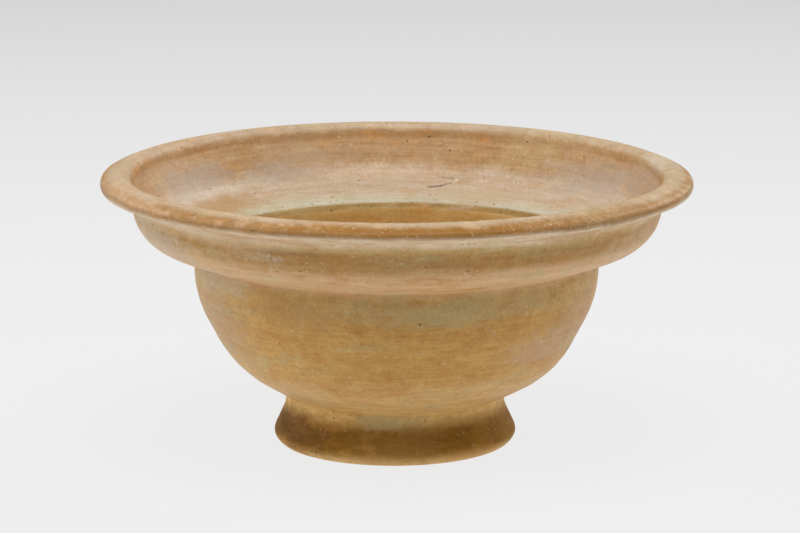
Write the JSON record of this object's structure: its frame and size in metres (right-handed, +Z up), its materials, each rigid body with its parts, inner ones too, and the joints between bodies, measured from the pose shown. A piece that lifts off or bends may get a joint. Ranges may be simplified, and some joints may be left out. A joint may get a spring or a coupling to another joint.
{
  "type": "terra sigillata bowl",
  "caption": "Wheel-made ceramic bowl with a double-curved wall, a rolled bead rim, a ledge inside at the shoulder and a luted foot ring, coated in a thin fired slip.",
  "frame": {"origin": "centre of the foot ring's standing face", "axes": "+Z up along the bowl's axis of revolution; X and Y are alike"},
  "size_m": [0.13, 0.13, 0.061],
  "materials": {
    "slipped_clay": "worn satin slip",
    "lute_slip": "matte"
  },
  "bodies": {
    "root": {"foot_ring": "slipped_clay", "foot_lute": "lute_slip", "bowl_body": "slipped_clay", "shoulder_lute": "lute_slip", "upper_wall": "slipped_clay", "rim_lute": "lute_slip", "bead_rim": "slipped_clay"}
  },
  "joints": []
}
